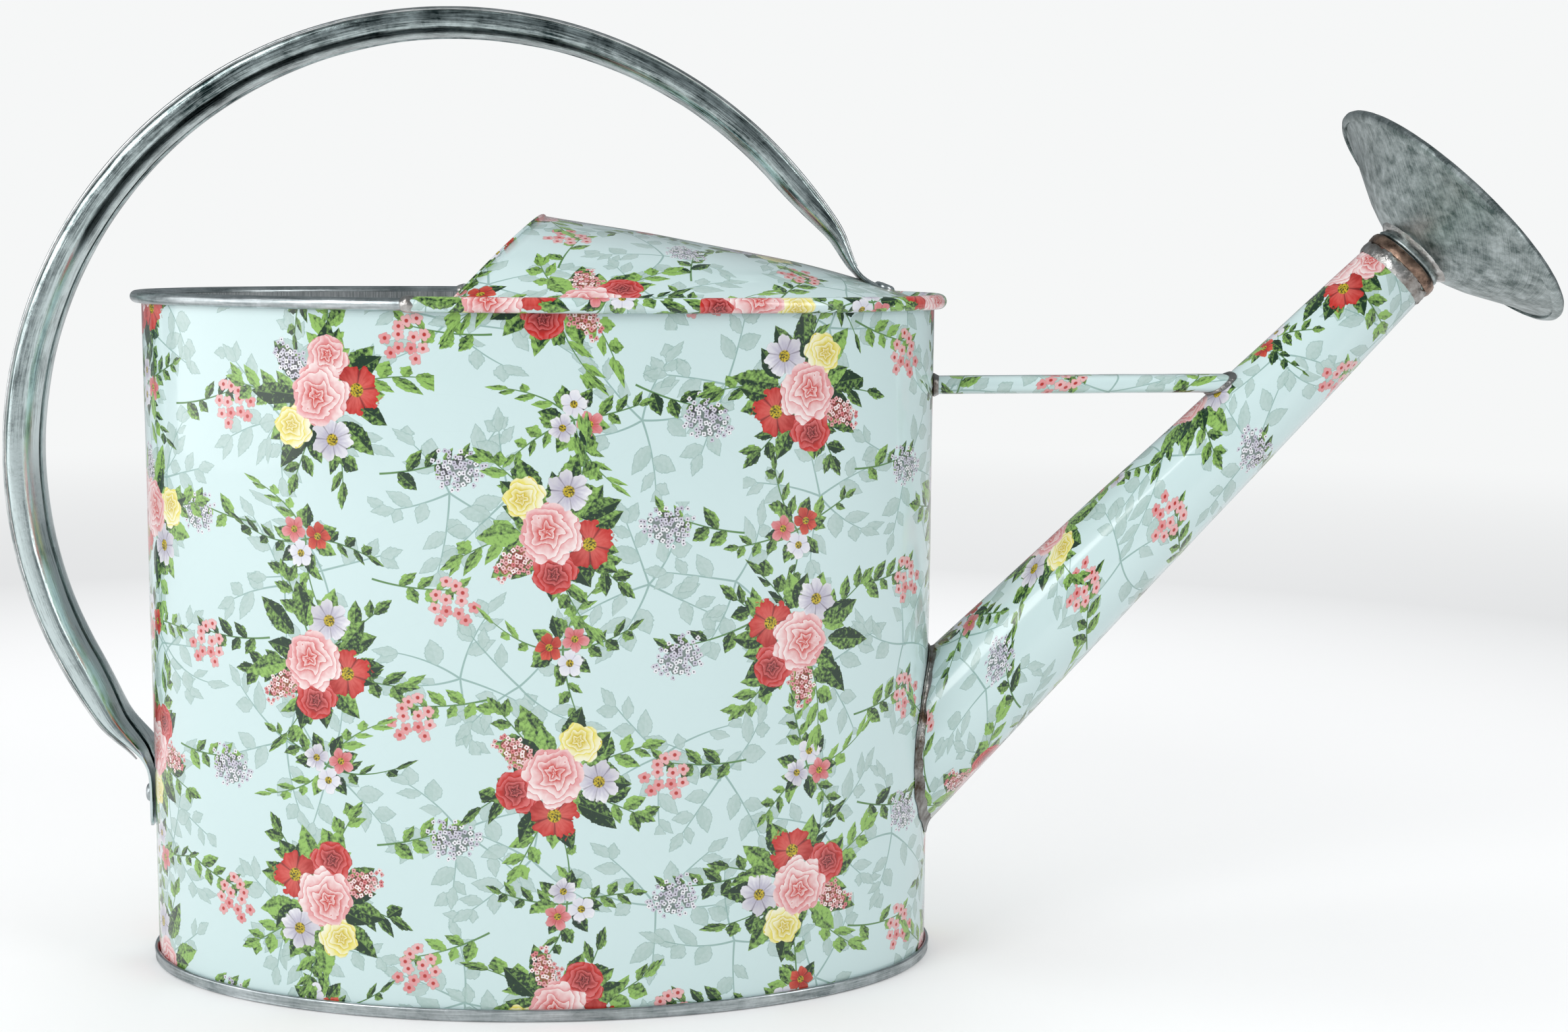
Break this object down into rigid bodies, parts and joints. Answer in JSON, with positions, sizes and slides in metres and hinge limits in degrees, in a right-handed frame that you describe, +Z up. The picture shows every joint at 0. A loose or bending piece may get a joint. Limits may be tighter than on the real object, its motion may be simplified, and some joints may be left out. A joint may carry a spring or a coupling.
{
  "type": "watering can",
  "caption": "Oval sheet-steel watering can with a floral print, a half hood, a looped riveted handle, a braced soldered spout and a pull-off round rose.",
  "frame": {"origin": "centre of the flat oval base, on the surface the can stands on", "axes": "+X towards the spout and rose, +Y to the can's left seen from behind, +Z up"},
  "size_m": [0.553, 0.1676, 0.3393],
  "materials": {
    "printed_steel": "gloss lacquer over a floral print on tinplate",
    "bare_zinc": "weathered galvanised zinc, semi-bright",
    "rose_zinc": "mottled dark zinc with fine streaks",
    "rivet_steel": "worn domed rivet head",
    "solder": "bright lumpy tin solder",
    "scorched_ring": "heat-browned, slightly coppery"
  },
  "bodies": {
    "can": {"body_wall": "printed_steel", "rim_wire": "bare_zinc", "base_pan": "bare_zinc", "base_sealant": "solder", "hood": "printed_steel", "handle": "bare_zinc", "spout_tube": "printed_steel", "spout_base_solder": "solder", "spout_mouth_solder": "solder", "spout_mouth_ring": "scorched_ring", "brace_tube": "printed_steel", "brace_body_solder": "solder", "brace_spout_solder": "solder", "rear_rivet_left": "rivet_steel", "rear_rivet_right": "rivet_steel", "front_rivet_left": "rivet_steel", "front_rivet_right": "rivet_steel"},
    "rose": {"rose_neck": "rose_zinc", "rose_neck_solder": "solder", "rose_cone": "rose_zinc", "rose_face_plate": "rose_zinc"}
  },
  "joints": [
    {"name": "rose_pull", "type": "slide", "parent": "can", "child": "rose", "axis": [0.6997, 0, 0.7145], "range_m": [0, 0.035]}
  ]
}
